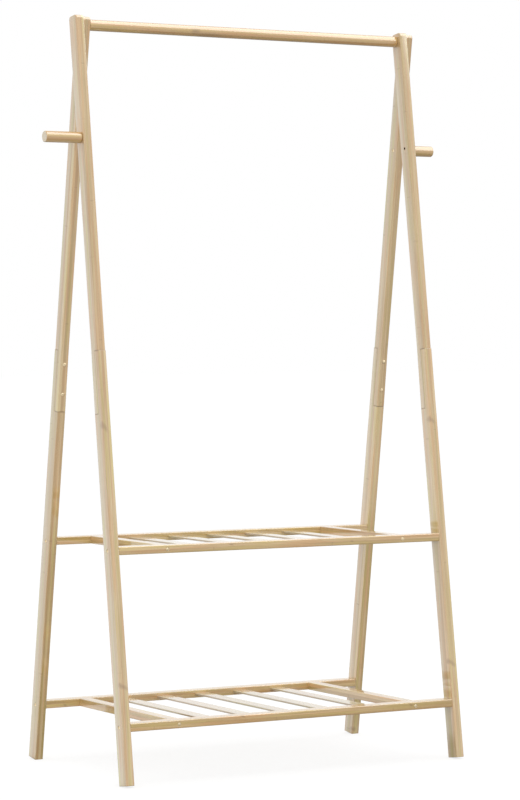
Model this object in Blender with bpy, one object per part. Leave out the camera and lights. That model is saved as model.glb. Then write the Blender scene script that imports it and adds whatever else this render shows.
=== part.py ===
"""Clothes rack in laminated bamboo: two A-shaped end frames, a hanging rod, two coat pegs and two slatted shelves.

The legs of a pair lie side by side where they cross at the top, so each end frame is two legs thick.
Every leg is two halves, joined by a half lap with two bolts.
The right end frame is the left one turned round, and so is the rear rail of each shelf the front one turned round.
Metres, +Z up, floor at zero, X along the hanging rod, front at -Y.
"""
import math

import bmesh
import bpy
from mathutils import Matrix, Vector

# Whole rack
RACK_HEIGHT = 1.605
RACK_WIDTH = 0.8545
LEG_LEAN = math.radians(8.11)
APEX_ABOVE_TOP = 0.0115

# Fit between pieces, and how far a cutter runs past the face that it opens
GAP = 0.0003
OVERRUN = 0.004

# Leg stock
LEG_THICKNESS = 0.019
LEG_DEPTH = 0.034
LEG_EDGE_RADIUS = 0.002
LEG_END_EASE = 0.0008
LEG_TOP_CORNER = 0.008
FOOT_LEVELLED = 0.0006

# Half lap in each leg
LAP_HEIGHT = 0.829
LAP_LENGTH = 0.132
LAP_BOLT_INSET = 0.0335
LAP_BOLT_RISE = 0.0045
LAP_BOLT_WALL = 0.004

# Hanging rod and coat pegs
ROD_BELOW_TOP = 0.0194
ROD_DIAMETER = 0.024
ROD_END_EASE = 0.001
ROD_BOLT_BITE = 0.035
ROD_BOLT_WALL = 0.006
PEG_BELOW_TOP = 0.2615
PEG_DIAMETER = 0.024
PEG_LENGTH = 0.084
PEG_TIP_EASE = 0.0015
PEG_SCREW_BITE = 0.030

# Shelves, their heights measured to the underside of the rails
SHELF_HEIGHTS = {"upper_shelf": 0.472, "lower_shelf": 0.112}
RAIL_HEIGHT = 0.017
RAIL_DEPTH = 0.031
RAIL_EDGE_RADIUS = 0.002
RAIL_BOLT_BITE = 0.030
SLAT_COUNT = 5
CROSSBAR_INSET = 0.0955
SLAT_WIDTH = 0.033
SLAT_THICKNESS = 0.004
SLAT_EDGE_RADIUS = 0.001
TENON_LENGTH = 0.012
CROSSBAR_WIDTH = 0.027
CROSSBAR_EDGE_RADIUS = 0.0015
CROSSBAR_SCREW_BITE = 0.025

# Bolts and screws, all with the same small head and hexagon socket, sunk until its top is flush with the wood
BOLT_DIAMETER = 0.004
BOLT_TIP_EASE = 0.0006
HEAD_DIAMETER = 0.007
HEAD_HEIGHT = 0.002
HEAD_CROWN = 0.0008
SOCKET_WIDTH = 0.003
SOCKET_DEPTH = 0.0012

# Facets of round forms
CORNER_STEPS = 3
TOP_CORNER_STEPS = 6
SLAT_CORNER_STEPS = 2
ROUND_STEPS = 32
BOLT_STEPS = 12
SMOOTH_BELOW = math.radians(40)

# Surface colours in linear values, with roughness and metallic
FINISHES = {
    "bamboo_leg": ((0.60, 0.44, 0.26, 1), 0.55, 0),
    "bamboo_rod": ((0.48, 0.33, 0.16, 1), 0.50, 0),
    "bamboo_rail": ((0.52, 0.37, 0.19, 1), 0.55, 0),
    "bamboo_slat": ((0.66, 0.50, 0.30, 1), 0.55, 0),
    "brassed_steel": ((0.86, 0.72, 0.46, 1), 0.30, 1),
}

# Places worked out from the sizes above
APEX_HEIGHT = RACK_HEIGHT + APEX_ABOVE_TOP
ROD_HEIGHT = RACK_HEIGHT - ROD_BELOW_TOP
PEG_HEIGHT = RACK_HEIGHT - PEG_BELOW_TOP
SEAM_X = RACK_WIDTH / 2 - LEG_THICKNESS - GAP / 2
LEG_NEAR_X = -GAP / 2
LEG_FAR_X = LEG_NEAR_X - LEG_THICKNESS
CLEAR_HALF = SEAM_X + LEG_FAR_X
CROSSBAR_X = CLEAR_HALF - CROSSBAR_INSET
SLAT_PITCH = 2 * CROSSBAR_X / (SLAT_COUNT + 1)
HOLE_DIAMETER = BOLT_DIAMETER + 2 * GAP
SINK_DIAMETER = HEAD_DIAMETER + 2 * GAP
SINK_DEPTH = HEAD_HEIGHT + GAP


def clear_scene():
    """Remove what is in the scene, so that the rack stands alone."""
    for thing in list(bpy.data.objects):
        bpy.data.objects.remove(thing, do_unlink=True)


def make_material(name):
    """Give one finish from the table as a Principled material."""
    colour, roughness, metallic = FINISHES[name]
    material = bpy.data.materials.new(name)
    material.use_nodes = True
    shader = material.node_tree.nodes["Principled BSDF"]
    shader.inputs["Base Color"].default_value = colour
    shader.inputs["Roughness"].default_value = roughness
    shader.inputs["Metallic"].default_value = metallic
    material.diffuse_color = colour
    return material


def rounded_rectangle(width, depth, radius, steps, level):
    """Points of a rectangle with rounded corners, anticlockwise from above, at one level."""
    points = []
    for quarter in range(4):
        turn = quarter * math.pi / 2
        side_x = 1 if quarter in (0, 3) else -1
        side_y = 1 if quarter in (0, 1) else -1
        centre = Vector((side_x * (width / 2 - radius), side_y * (depth / 2 - radius), level))
        for step in range(steps + 1):
            angle = turn + step * math.pi / 2 / steps
            points.append(centre + Vector((radius * math.cos(angle), radius * math.sin(angle), 0)))
    return points


def circle(diameter, steps, level):
    """Points of a circle, anticlockwise from above, at one level."""
    angles = [2 * math.pi * step / steps for step in range(steps)]
    return [Vector((diameter / 2 * math.cos(angle), diameter / 2 * math.sin(angle), level)) for angle in angles]


def hexagon(width, steps, level):
    """Points on the outline of a hexagon of one width across its flats, at even angles from its centre."""
    points = []
    for step in range(steps):
        angle = 2 * math.pi * step / steps
        from_flat = (angle % (math.pi / 3)) - math.pi / 6
        reach = width / 2 / math.cos(from_flat)
        points.append(Vector((reach * math.cos(angle), reach * math.sin(angle), level)))
    return points


def add_skin(body, rings):
    """Add a closed skin over rings of points, with a cap on the first and on the last."""
    rows = [[body.verts.new(point) for point in ring] for ring in rings]
    count = len(rows[0])
    for lower, upper in zip(rows, rows[1:]):
        for index in range(count):
            after = (index + 1) % count
            body.faces.new((lower[index], lower[after], upper[after], upper[index]))
    body.faces.new(tuple(reversed(rows[0])))
    body.faces.new(tuple(rows[-1]))


def bar_rings(width, depth, radius, steps, low, high, ease=0):
    """Rings of a bar along Z with rounded long edges and, where the ease isn't zero, a chamfered low end."""
    rings = [rounded_rectangle(width, depth, radius, steps, level) for level in (low + ease, high)]
    if ease:
        rings.insert(0, rounded_rectangle(width - 2 * ease, depth - 2 * ease, radius - ease, steps, low))
    return rings


def round_rings(diameter, steps, low, high, ease_low, ease_high):
    """Rings of a round bar along Z with chamfered ends."""
    return [
        circle(diameter - 2 * ease_low, steps, low),
        circle(diameter, steps, low + ease_low),
        circle(diameter, steps, high - ease_high),
        circle(diameter - 2 * ease_high, steps, high),
    ]


def rounded_top_rings(width, depth, radius, steps, top, corner, corner_steps, ease):
    """Rings that round the two corners of a bar's top across its depth, and ease its edges across its width."""
    rings = []
    for step in range(corner_steps + 1):
        angle = step * math.pi / 2 / corner_steps
        below = corner * (1 - math.sin(angle))
        inset = max(ease - below, 0)
        depth_here = depth - 2 * corner * (1 - math.cos(angle))
        rings.append(rounded_rectangle(width - 2 * inset, depth_here, radius - inset, steps, top - below))
    return rings


def bolt_rings(length):
    """Rings of a bolt along Z, from its tip up to the floor of its socket, with zero under the head."""
    return [
        circle(BOLT_DIAMETER - 2 * BOLT_TIP_EASE, BOLT_STEPS, -length),
        circle(BOLT_DIAMETER, BOLT_STEPS, BOLT_TIP_EASE - length),
        circle(BOLT_DIAMETER, BOLT_STEPS, 0),
        circle(HEAD_DIAMETER, BOLT_STEPS, 0),
        circle(HEAD_DIAMETER, BOLT_STEPS, HEAD_HEIGHT - HEAD_CROWN),
        circle(HEAD_DIAMETER - 2 * HEAD_CROWN, BOLT_STEPS, HEAD_HEIGHT),
        hexagon(SOCKET_WIDTH, BOLT_STEPS, HEAD_HEIGHT),
        hexagon(SOCKET_WIDTH, BOLT_STEPS, HEAD_HEIGHT - SOCKET_DEPTH),
    ]


def mesh_from_rings(name, *stacks):
    """Make one mesh from stacks of rings, each a closed body."""
    body = bmesh.new()
    for rings in stacks:
        add_skin(body, rings)
    mesh = bpy.data.meshes.new(name)
    body.to_mesh(mesh)
    body.free()
    return mesh


def moved(rings, place):
    """The same rings under a placement matrix."""
    return [[place @ point for point in ring] for ring in rings]


def hole(start, direction, length, sunk=False):
    """Rings of a bolt hole's cutter that starts an overrun outside a face, with or without room for a sunk head."""
    place = Matrix.Translation(start) @ Vector(direction).to_track_quat("Z", "Y").to_matrix().to_4x4()
    stops = [(HOLE_DIAMETER, 0), (HOLE_DIAMETER, length)]
    if sunk:
        seat = OVERRUN + SINK_DEPTH
        stops = [(SINK_DIAMETER, 0), (SINK_DIAMETER, seat), (HOLE_DIAMETER, seat), (HOLE_DIAMETER, length)]
    return moved([circle(diameter, BOLT_STEPS, level) for diameter, level in stops], place)


def block(low, high):
    """Rings of a plain block between two corners."""
    corners = ((low.x, low.y), (high.x, low.y), (high.x, high.y), (low.x, high.y))
    return [[Vector((x, y, level)) for x, y in corners] for level in (low.z, high.z)]


def cut(mesh, *stacks):
    """Cut bodies, given as stacks of rings that don't touch each other, out of a mesh."""
    piece = bpy.data.objects.new(mesh.name, mesh)
    cutter = bpy.data.objects.new(mesh.name + "_cutter", mesh_from_rings("cutter", *stacks))
    cutter.hide_render = True
    cutter.display_type = "WIRE"
    for thing in (piece, cutter):
        bpy.context.scene.collection.objects.link(thing)
    modifier = piece.modifiers.new("cut", "BOOLEAN")
    modifier.operation = "DIFFERENCE"
    modifier.solver = "EXACT"
    modifier.object = cutter
    shaped = piece.evaluated_get(bpy.context.evaluated_depsgraph_get())
    result = bpy.data.meshes.new_from_object(shaped)
    result.name = mesh.name
    for thing in (piece, cutter):
        bpy.data.objects.remove(thing, do_unlink=True)
    return result


def level_foot(mesh):
    """Plane the floor edge of a leg level, so that it rests on a flat and not on an edge."""
    body = bmesh.new()
    body.from_mesh(mesh)
    up = Vector((0, -math.sin(LEG_LEAN), math.cos(LEG_LEAN)))
    everything = body.verts[:] + body.edges[:] + body.faces[:]
    sliced = bmesh.ops.bisect_plane(
        body, geom=everything, plane_co=-APEX_HEIGHT * up, plane_no=up, clear_inner=True, clear_outer=False)
    rim = [part for part in sliced["geom_cut"] if isinstance(part, bmesh.types.BMEdge)]
    bmesh.ops.edgeloop_fill(body, edges=rim)
    bmesh.ops.recalc_face_normals(body, faces=body.faces[:])
    body.to_mesh(mesh)
    body.free()


def add_piece(name, mesh, finish, parent, location=(0, 0, 0), rotation=(0, 0, 0)):
    """Place one piece of the rack, with its finish, under its parent."""
    if not mesh.materials:
        mesh.materials.append(finish)
        mesh.shade_smooth()
        mesh.set_sharp_from_angle(angle=SMOOTH_BELOW)
    piece = bpy.data.objects.new(name, mesh)
    bpy.context.scene.collection.objects.link(piece)
    piece.parent = parent
    piece.location = location
    piece.rotation_euler = rotation
    return piece


def add_empty(name, parent=None, location=(0, 0, 0), rotation=(0, 0, 0)):
    """Add an empty that carries a group of pieces."""
    empty = bpy.data.objects.new(name, None)
    bpy.context.scene.collection.objects.link(empty)
    empty.parent = parent
    empty.location = location
    empty.rotation_euler = rotation
    return empty


def leg_line(height):
    """How far a leg's centre line lies from the middle plane of the rack at one height."""
    return (APEX_HEIGHT - height) * math.tan(LEG_LEAN)


def along_leg(height):
    """Level of a height on a leg's centre line, in the leg's own frame, whose zero is the apex."""
    return -(APEX_HEIGHT - height) / math.cos(LEG_LEAN)


def shelf_middle(shelf):
    """Height of the middle of a shelf's rails."""
    return SHELF_HEIGHTS[shelf] + RAIL_HEIGHT / 2


def lap_bolt_levels():
    """Levels of the two lap bolts in the leg's own frame."""
    middle = along_leg(LAP_HEIGHT) + LAP_BOLT_RISE
    reach = LAP_LENGTH / 2 - LAP_BOLT_INSET
    return (middle + reach, middle - reach)


def lap_bolt_holes():
    """Cutters of the lap bolts, from the leg's inner face to a wall short of its outer face."""
    start_y = LEG_DEPTH / 2 + OVERRUN
    length = LEG_DEPTH + OVERRUN - LAP_BOLT_WALL + GAP
    middle_x = (LEG_NEAR_X + LEG_FAR_X) / 2
    starts = [Vector((middle_x, start_y, level)) for level in lap_bolt_levels()]
    return [hole(start, (0, -1, 0), length, sunk=True) for start in starts]


def hole_from_near_face(across, level, length, sunk=False):
    """Cutter of a bolt hole that runs a length into a leg from the face at the middle of its pair."""
    start = Vector((LEG_NEAR_X + OVERRUN, across, level))
    return hole(start, (-1, 0, 0), OVERRUN + length, sunk)


def hole_from_far_face(across, level, length, sunk=False):
    """Cutter of a bolt hole that runs a length into a leg from the face turned away from the middle of its pair."""
    start = Vector((LEG_FAR_X - OVERRUN, across, level))
    return hole(start, (1, 0, 0), OVERRUN + length, sunk)


def leg_stock(name, rings):
    """Leg stock in the leg's own frame, +Y on the inner side of the A."""
    middle_x = (LEG_NEAR_X + LEG_FAR_X) / 2
    return mesh_from_rings(name, moved(rings, Matrix.Translation((middle_x, 0, 0))))


def top_level():
    """Level of a leg's rounded top in its own frame, so that its highest point is the height of the rack."""
    corner_rise = math.sin(LEG_LEAN) * (LEG_DEPTH / 2 - LEG_TOP_CORNER)
    corner_level = (RACK_HEIGHT - LEG_TOP_CORNER - corner_rise - APEX_HEIGHT) / math.cos(LEG_LEAN)
    return corner_level + LEG_TOP_CORNER


def upper_leg_mesh(place):
    """Upper half of a leg: its tongue is the inner half of the depth and runs down behind the lower half's."""
    lap_low = along_leg(LAP_HEIGHT) - LAP_LENGTH / 2 + GAP / 2
    lap_high = along_leg(LAP_HEIGHT) + LAP_LENGTH / 2 + GAP / 2
    rings = [rounded_rectangle(LEG_THICKNESS, LEG_DEPTH, LEG_EDGE_RADIUS, CORNER_STEPS, lap_low)]
    rings += rounded_top_rings(
        LEG_THICKNESS, LEG_DEPTH, LEG_EDGE_RADIUS, CORNER_STEPS,
        top_level(), LEG_TOP_CORNER, TOP_CORNER_STEPS, LEG_END_EASE)
    mesh = leg_stock(place + "_leg_upper", rings)
    notch = block(
        Vector((LEG_FAR_X - OVERRUN, -LEG_DEPTH / 2 - OVERRUN, lap_low - OVERRUN)),
        Vector((LEG_NEAR_X + OVERRUN, GAP / 2, lap_high)))
    mesh = cut(mesh, notch)
    rod_drop = APEX_HEIGHT - ROD_HEIGHT
    rod_depth = LEG_THICKNESS - ROD_BOLT_WALL if place == "outer" else LEG_THICKNESS + OVERRUN
    rod_hole = hole_from_near_face(rod_drop * math.sin(LEG_LEAN), -rod_drop * math.cos(LEG_LEAN), rod_depth)
    peg_hole = hole_from_near_face(0, along_leg(PEG_HEIGHT), LEG_THICKNESS + OVERRUN, sunk=True)
    return cut(mesh, rod_hole, peg_hole, *lap_bolt_holes())


def lower_leg_mesh(place):
    """Lower half of a leg: its tongue is the outer half of the depth, and its foot is levelled on one edge."""
    foot = (-APEX_HEIGHT - FOOT_LEVELLED + math.sin(LEG_LEAN) * LEG_DEPTH / 2) / math.cos(LEG_LEAN)
    lap_low = along_leg(LAP_HEIGHT) - LAP_LENGTH / 2 - GAP / 2
    lap_high = along_leg(LAP_HEIGHT) + LAP_LENGTH / 2 - GAP / 2
    rings = bar_rings(LEG_THICKNESS, LEG_DEPTH, LEG_EDGE_RADIUS, CORNER_STEPS, foot, lap_high, LEG_END_EASE)
    mesh = leg_stock(place + "_leg_lower", rings)
    notch = block(
        Vector((LEG_FAR_X - OVERRUN, -GAP / 2, lap_low)),
        Vector((LEG_NEAR_X + OVERRUN, LEG_DEPTH / 2 + OVERRUN, lap_high + OVERRUN)))
    mesh = cut(mesh, notch)
    rail_hole = hole_from_far_face if place == "outer" else hole_from_near_face
    levels = [along_leg(shelf_middle(shelf)) for shelf in SHELF_HEIGHTS]
    rail_holes = [rail_hole(0, level, LEG_THICKNESS + OVERRUN, sunk=True) for level in levels]
    mesh = cut(mesh, *rail_holes, *lap_bolt_holes())
    level_foot(mesh)
    return mesh


def rod_mesh():
    """Hanging rod along Z, with a blind bolt hole in each end."""
    half = CLEAR_HALF - GAP
    mesh = mesh_from_rings("hanging_rod", round_rings(ROD_DIAMETER, ROUND_STEPS, -half, half, ROD_END_EASE, ROD_END_EASE))
    bore = ROD_BOLT_BITE + GAP + OVERRUN
    low_hole = hole(Vector((0, 0, -half - OVERRUN)), (0, 0, 1), bore)
    high_hole = hole(Vector((0, 0, half + OVERRUN)), (0, 0, -1), bore)
    return cut(mesh, low_hole, high_hole)


def peg_mesh():
    """Coat peg that stands up from its root at zero, with a blind screw hole in the root."""
    rings = round_rings(PEG_DIAMETER, ROUND_STEPS, 0, PEG_LENGTH, ROD_END_EASE, PEG_TIP_EASE)
    screw_hole = hole(Vector((0, 0, -OVERRUN)), (0, 0, 1), PEG_SCREW_BITE + GAP + OVERRUN)
    return cut(mesh_from_rings("coat_peg", rings), screw_hole)


def slat_places():
    """Places of the slats along the rack."""
    return [(index - (SLAT_COUNT - 1) / 2) * SLAT_PITCH for index in range(SLAT_COUNT)]


def rail_mesh():
    """Shelf rail: its own Z runs along the rack from its middle, its own X down, and its inner face is at +Y."""
    low = -SEAM_X + LEG_NEAR_X + GAP
    high = CLEAR_HALF - GAP
    rings = bar_rings(RAIL_HEIGHT, RAIL_DEPTH, RAIL_EDGE_RADIUS, CORNER_STEPS, low, high)
    mesh = mesh_from_rings("shelf_rail", rings)
    half_slot = SLAT_THICKNESS / 2 + GAP
    half_width = SLAT_WIDTH / 2 + GAP
    floor_y = RAIL_DEPTH / 2 - TENON_LENGTH - GAP
    slots = []
    for place in slat_places():
        slots.append(block(
            Vector((-half_slot, floor_y, place - half_width)),
            Vector((half_slot, RAIL_DEPTH / 2 + OVERRUN, place + half_width))))
    bore = RAIL_BOLT_BITE + GAP + OVERRUN
    end_holes = [
        hole(Vector((0, 0, low - OVERRUN)), (0, 0, 1), bore),
        hole(Vector((0, 0, high + OVERRUN)), (0, 0, -1), bore),
    ]
    screw_holes = []
    for place in (-CROSSBAR_X, CROSSBAR_X):
        start = Vector((0, -RAIL_DEPTH / 2 - OVERRUN, place))
        screw_holes.append(hole(start, (0, 1, 0), RAIL_DEPTH + 2 * OVERRUN, sunk=True))
    return cut(mesh, *slots, *end_holes, *screw_holes)


def clear_between_rails(shelf):
    """Half the clear distance between the two rails of a shelf."""
    return leg_line(shelf_middle(shelf)) - RAIL_DEPTH / 2


def slat_mesh(shelf):
    """Thin slat along Z, long enough to sit in the slots of both rails."""
    half = clear_between_rails(shelf) + TENON_LENGTH
    rings = bar_rings(SLAT_WIDTH, SLAT_THICKNESS, SLAT_EDGE_RADIUS, SLAT_CORNER_STEPS, -half, half)
    return mesh_from_rings(shelf + "_slat", rings)


def crossbar_mesh(shelf):
    """Full height crossbar along Z between the rails, with a blind screw hole in each end."""
    half = clear_between_rails(shelf) - GAP
    rings = bar_rings(CROSSBAR_WIDTH, RAIL_HEIGHT, CROSSBAR_EDGE_RADIUS, SLAT_CORNER_STEPS, -half, half)
    bore = CROSSBAR_SCREW_BITE + GAP + OVERRUN
    low_hole = hole(Vector((0, 0, -half - OVERRUN)), (0, 0, 1), bore)
    high_hole = hole(Vector((0, 0, half + OVERRUN)), (0, 0, -1), bore)
    return cut(mesh_from_rings(shelf + "_crossbar", rings), low_hole, high_hole)


def bolt_mesh(name, length):
    """Bolt whose length is measured under the head."""
    return mesh_from_rings(name, bolt_rings(length))


def stud_mesh(name, length):
    """Stud without a head that stands up from zero."""
    return mesh_from_rings(name, round_rings(BOLT_DIAMETER, BOLT_STEPS, 0, length, BOLT_TIP_EASE, BOLT_TIP_EASE))


def turn_to(direction):
    """Rotation that points a bolt's head along one direction."""
    return Vector(direction).to_track_quat("Z", "Y").to_euler()


def add_frame(side, frame, meshes, finishes):
    """Build one end frame: the outer and inner leg of the pair, with their bolts, peg and rod stud."""
    outer, inner = ("front", "rear") if side == "left" else ("rear", "front")
    steel = finishes["brassed_steel"]
    middle_x = (LEG_NEAR_X + LEG_FAR_X) / 2
    for name, place, turn in ((outer, "outer", 0), (inner, "inner", math.pi)):
        leg = f"{side}_{name}"
        line = add_empty(leg + "_leg_line", frame, (0, 0, APEX_HEIGHT), (-LEG_LEAN, 0, turn))
        add_piece(leg + "_leg_upper", meshes[place + "_leg_upper"], finishes["bamboo_leg"], line)
        add_piece(leg + "_leg_lower", meshes[place + "_leg_lower"], finishes["bamboo_leg"], line)
        for number, level in enumerate(lap_bolt_levels(), start=1):
            spot = (middle_x, LEG_DEPTH / 2 - HEAD_HEIGHT, level)
            add_piece(f"{leg}_lap_bolt_{number}", meshes["lap_bolt"], steel, line, spot, turn_to((0, 1, 0)))
        head_x = LEG_FAR_X + HEAD_HEIGHT if place == "outer" else LEG_NEAR_X - HEAD_HEIGHT
        outward = (-1, 0, 0) if place == "outer" else (1, 0, 0)
        for shelf in SHELF_HEIGHTS:
            spot = (head_x, 0, along_leg(shelf_middle(shelf)))
            add_piece(f"{shelf}_{leg}_bolt", meshes["rail_bolt"], steel, line, spot, turn_to(outward))

    peg_y = -leg_line(PEG_HEIGHT)
    peg_root = (LEG_FAR_X - GAP, peg_y, PEG_HEIGHT)
    add_piece(f"{side}_peg", meshes["coat_peg"], finishes["bamboo_rod"], frame, peg_root, turn_to((-1, 0, 0)))
    screw_spot = (LEG_NEAR_X - HEAD_HEIGHT, peg_y, PEG_HEIGHT)
    add_piece(f"{side}_peg_screw", meshes["peg_screw"], steel, frame, screw_spot, turn_to((1, 0, 0)))
    rod_bolt_spot = (LEG_FAR_X + ROD_BOLT_WALL + GAP, 0, ROD_HEIGHT)
    add_piece(f"{side}_rod_bolt", meshes["rod_bolt"], steel, frame, rod_bolt_spot, turn_to((1, 0, 0)))


def add_shelf(shelf, meshes, finishes):
    """Build one shelf: two rails, two crossbars screwed between them, and the slats that sit in the rails."""
    level = shelf_middle(shelf)
    deck = add_empty(shelf, None, (0, 0, level))
    rail_y = leg_line(level)
    rail_finish = finishes["bamboo_rail"]
    add_piece(shelf + "_front_rail", meshes["shelf_rail"], rail_finish, deck, (0, -rail_y, 0), (0, math.pi / 2, 0))
    add_piece(shelf + "_rear_rail", meshes["shelf_rail"], rail_finish, deck, (0, rail_y, 0), (0, math.pi / 2, math.pi))

    lengthwise = (-math.pi / 2, 0, 0)
    slat = slat_mesh(shelf)
    for number, place in enumerate(slat_places(), start=1):
        add_piece(f"{shelf}_slat_{number}", slat, finishes["bamboo_slat"], deck, (place, 0, 0), lengthwise)

    crossbar = crossbar_mesh(shelf)
    for side, place in (("left", -CROSSBAR_X), ("right", CROSSBAR_X)):
        add_piece(f"{shelf}_{side}_crossbar", crossbar, rail_finish, deck, (place, 0, 0), lengthwise)
        for end, sign in (("front", -1), ("rear", 1)):
            spot = (place, sign * (rail_y + RAIL_DEPTH / 2 - HEAD_HEIGHT), 0)
            add_piece(
                f"{shelf}_{side}_{end}_screw", meshes["crossbar_screw"],
                finishes["brassed_steel"], deck, spot, turn_to((0, sign, 0)))


def build_rack():
    """Build the whole rack."""
    clear_scene()
    finishes = {name: make_material(name) for name in FINISHES}
    meshes = {
        "coat_peg": peg_mesh(),
        "shelf_rail": rail_mesh(),
        "lap_bolt": bolt_mesh("lap_bolt", LEG_DEPTH - HEAD_HEIGHT - LAP_BOLT_WALL),
        "rail_bolt": bolt_mesh("rail_bolt", LEG_THICKNESS - HEAD_HEIGHT + GAP + RAIL_BOLT_BITE),
        "peg_screw": bolt_mesh("peg_screw", LEG_THICKNESS - HEAD_HEIGHT + GAP + PEG_SCREW_BITE),
        "rod_bolt": stud_mesh("rod_bolt", ROD_BOLT_BITE - ROD_BOLT_WALL - 2 * LEG_FAR_X),
        "crossbar_screw": bolt_mesh("crossbar_screw", RAIL_DEPTH - HEAD_HEIGHT + GAP + CROSSBAR_SCREW_BITE),
    }
    for place in ("outer", "inner"):
        meshes[place + "_leg_upper"] = upper_leg_mesh(place)
        meshes[place + "_leg_lower"] = lower_leg_mesh(place)
    left = add_empty("left_frame", None, (-SEAM_X, 0, 0))
    right = add_empty("right_frame", None, (SEAM_X, 0, 0), (0, 0, math.pi))
    add_frame("left", left, meshes, finishes)
    add_frame("right", right, meshes, finishes)
    add_piece("hanging_rod", rod_mesh(), finishes["bamboo_rod"], None, (0, 0, ROD_HEIGHT), (0, math.pi / 2, 0))
    for shelf in SHELF_HEIGHTS:
        add_shelf(shelf, meshes, finishes)


if __name__ == "__main__":
    build_rack()
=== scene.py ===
"""The looks of a bamboo clothes rack: laminated legs and rails, turned rod and pegs, thin slats and small bolts.

Every piece is a profile carried along its own straight axis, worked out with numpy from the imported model's nodes.
A leg's own frame has its zero where the centre lines of a pair of legs meet, Z up the leg and Y to the inner side.
"""
import math
from typing import NamedTuple

import bmesh
import bpy
import numpy as np
from bpy.props import FloatProperty, FloatVectorProperty, IntProperty, PointerProperty
from mathutils import Matrix, Vector


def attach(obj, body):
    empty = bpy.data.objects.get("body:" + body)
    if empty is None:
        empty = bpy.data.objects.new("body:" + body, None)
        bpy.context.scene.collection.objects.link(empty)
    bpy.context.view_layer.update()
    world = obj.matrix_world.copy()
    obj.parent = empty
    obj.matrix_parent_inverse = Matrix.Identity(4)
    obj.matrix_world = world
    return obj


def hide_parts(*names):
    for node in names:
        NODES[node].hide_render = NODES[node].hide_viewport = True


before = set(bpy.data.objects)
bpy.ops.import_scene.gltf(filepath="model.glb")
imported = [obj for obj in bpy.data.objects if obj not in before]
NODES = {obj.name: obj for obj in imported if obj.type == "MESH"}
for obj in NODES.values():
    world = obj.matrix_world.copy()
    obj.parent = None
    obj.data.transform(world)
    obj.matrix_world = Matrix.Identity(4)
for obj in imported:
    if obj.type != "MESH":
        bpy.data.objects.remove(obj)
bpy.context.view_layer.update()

bl_info = {
    "name": "Bamboo Clothes Rack",
    "version": (1, 0, 0),
    "blender": (4, 5, 0),
    "location": "View3D > Sidebar > Rack",
    "description": "Dresses the packed clothes rack in bamboo and steel and sets up its studio",
    "category": "Object",
}

SIDES = ("left", "right")
PLACES = ("front", "rear")
SHELVES = ("upper_shelf", "lower_shelf")
SLAT_NUMBERS = (1, 2, 3, 4, 5)
LAP_BOLT_NUMBERS = (1, 2)

QUARTER_TURN = math.pi / 2
HALF_TURN = math.pi
FULL_TURN = 2 * math.pi

# Frames whose Z runs along the rack's X or Y
ALONG_X = Matrix.Rotation(QUARTER_TURN, 4, "Y")
ALONG_Y = Matrix.Rotation(-QUARTER_TURN, 4, "X")

# Directions in the rack, and the one to a leg's inner side in its own frame
TO_LEFT, TO_RIGHT = (-1, 0, 0), (1, 0, 0)
AWAY = {"front": (0, -1, 0), "rear": (0, 1, 0)}
OUTWARD = {"left": TO_LEFT, "right": TO_RIGHT}
INWARD = {"left": TO_RIGHT, "right": TO_LEFT}
LEG_INNER_SIDE = (0, 1, 0)

# Faces of a piece that its joint marks lie on: the low or the high one in its own Y
LOW_FACE, HIGH_FACE = -1, 1

# Meshes: points this close are one, an edge this short is none, and a bar's levels are told apart to these digits
SAME_POINT = 1e-6
NO_EDGE = 1e-7
LEVEL_DIGITS = 7
SHARP_ANGLE = math.radians(38)
CAP_RINGS = (0.3, 0.7)

# Material slots of a bamboo piece, and how straight a face looks along the piece to be a cut end
BAMBOO_SLOTS = FLANK, CUT_END, DRILLED = range(3)
END_FACING = 0.9

# Bolt heads: angle of the dome, and shares of the shank, the head and the socket
DOME_ANGLE = math.radians(62)
DOME_STEPS = 6
TIP_SHARE, TIP_RISE = 0.7, 0.5
RIM_SHARE, SOCKET_FLOOR_SHARE = 0.35, 0.4
SOCKET_TIP_SHARE, SOCKET_TIP_DROP = 0.2, 0.1
STUD_EASE, STUD_END_STEPS, STUD_STEPS = 0.15, 2, 36

# Bamboo pattern: how far a face keeps from a strip's edge, and where a mark lies that the piece hasn't got
STRIP_MARGIN = 0.06
NO_MARK = 9.0
MARK_NUMBERS = (1, 2)
# Reach of a mark along its line, as a share of the line, and into the piece, as a share of its reach across
MARK_ALONG, MARK_INTO = 0.62, 2.5


class Stock(NamedTuple):
    """What a kind of bamboo piece is cut from: strips in X and Y, finish, and the seeds of the pattern."""

    strips: tuple
    finish: str
    first_seed: float
    seed_step: float = 0.0
    group_step: float = 0.0

    def seed(self, number, group=0):
        """Seed of one piece in a group of its kind, such as a shelf."""
        return self.first_seed + self.group_step * group + self.seed_step * number


STOCKS = {
    "leg": Stock((3, 3), "leg_bamboo", 0.0, 3.1, 1.0),
    "rail": Stock((2, 4), "rail_bamboo", 40.0, 3.1, 7.3),
    "crossbar": Stock((3, 2), "rail_bamboo", 60.0, 2.3, 5.7),
    "slat": Stock((4, 1), "slat_bamboo", 80.0, 1.7, 9.1),
    "rod": Stock((4, 4), "round_bamboo", 20.0),
    "peg": Stock((4, 4), "round_bamboo", 25.0, 1.0),
}

# The photograph's frame in pixels
PHOTO_WIDTH = 520
PHOTO_HEIGHT = 800

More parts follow.
